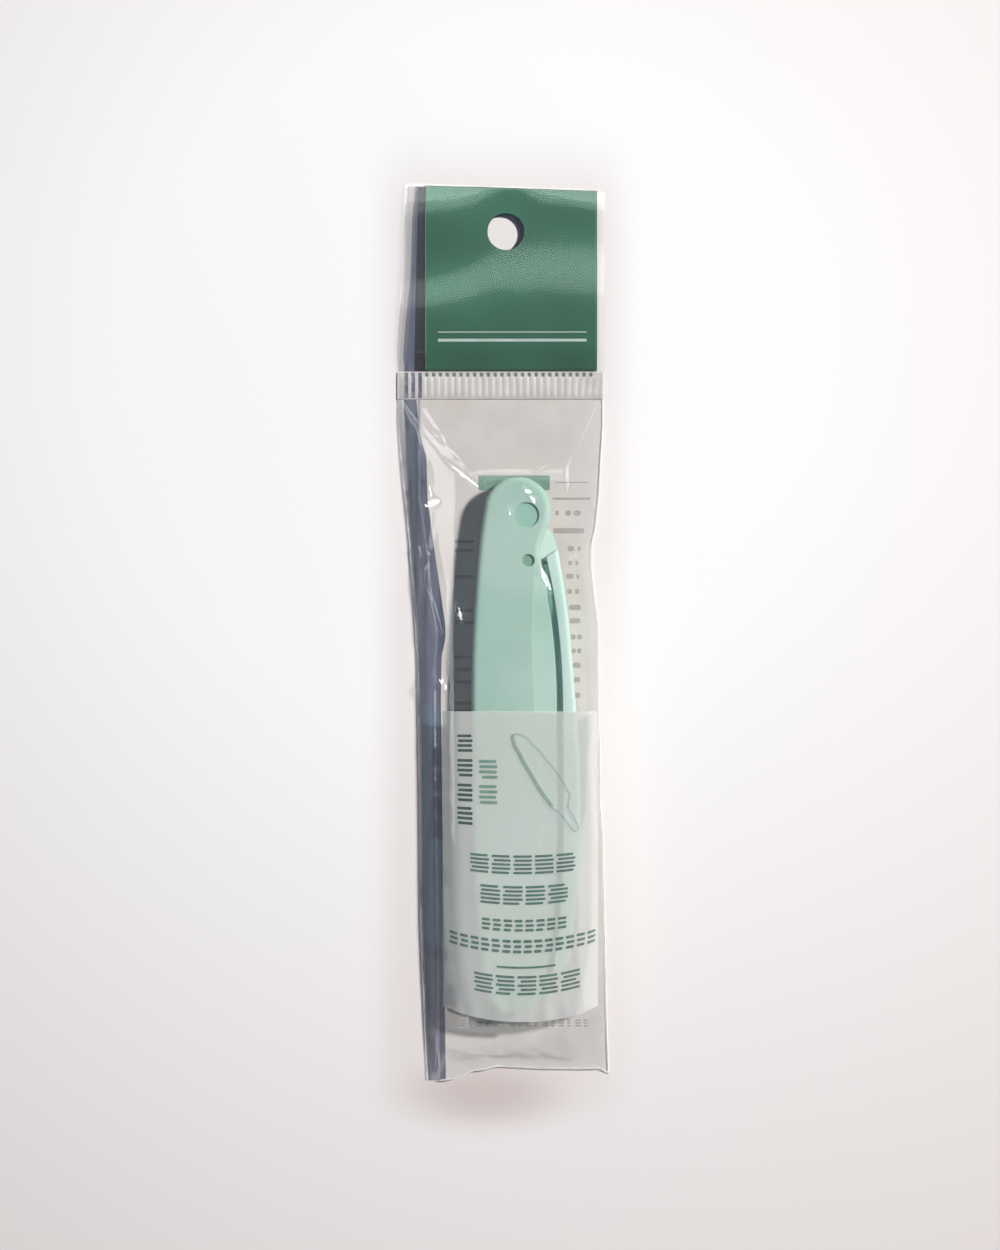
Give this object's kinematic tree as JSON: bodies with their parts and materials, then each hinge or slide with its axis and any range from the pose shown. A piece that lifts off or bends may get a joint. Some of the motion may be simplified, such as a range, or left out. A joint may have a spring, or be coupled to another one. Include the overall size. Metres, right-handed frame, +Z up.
{
  "type": "eyebrow razor",
  "caption": "Folding eyebrow razor with a plastic handle and a guarded steel blade on a swinging arm, closed, in its clear retail pouch with a green hang header.",
  "frame": {"origin": "middle of the underside that the pack lies on", "axes": "+X across the pouch, +Y along the pouch towards its hang hole, +Z up from the table"},
  "size_m": [0.0386, 0.162, 0.0068],
  "materials": {
    "mint_moulding": "satin moulded",
    "mint_arm": "satin moulded",
    "mint_pin": "satin moulded",
    "blade_steel": "ground",
    "guard_steel": "stamped",
    "clear_film": "clear glossy",
    "back_film": "printed white, glossy",
    "weld": "welded clear film",
    "seal": "ribbed heat seal",
    "header_card": "printed green"
  },
  "bodies": {
    "handle": {"handle_front": "mint_moulding", "handle_back": "mint_moulding", "pivot_pin": "mint_pin", "stop_pin": "mint_pin"},
    "arm": {"blade_arm": "mint_arm", "blade": "blade_steel", "guard_comb": "guard_steel"},
    "pouch": {"pouch_front_film": "clear_film", "pouch_back_film": "back_film", "left_side_weld": "weld", "right_side_weld": "weld", "top_seal": "seal", "header_film": "clear_film", "header_card": "header_card"}
  },
  "joints": [
    {"name": "fold", "type": "hinge", "parent": "handle", "child": "arm", "pos_m": [0.0044, 0.0208, 0.00355], "axis": [0, 0, 1], "range_deg": [0, 180], "deforming": ["pouch_front_film", "pouch_back_film", "left_side_weld", "right_side_weld"]},
    {"name": "pouch_off", "type": "slide", "parent": "handle", "child": "pouch", "axis": [0, 1, 0], "range_m": [0, 0.19]}
  ]
}
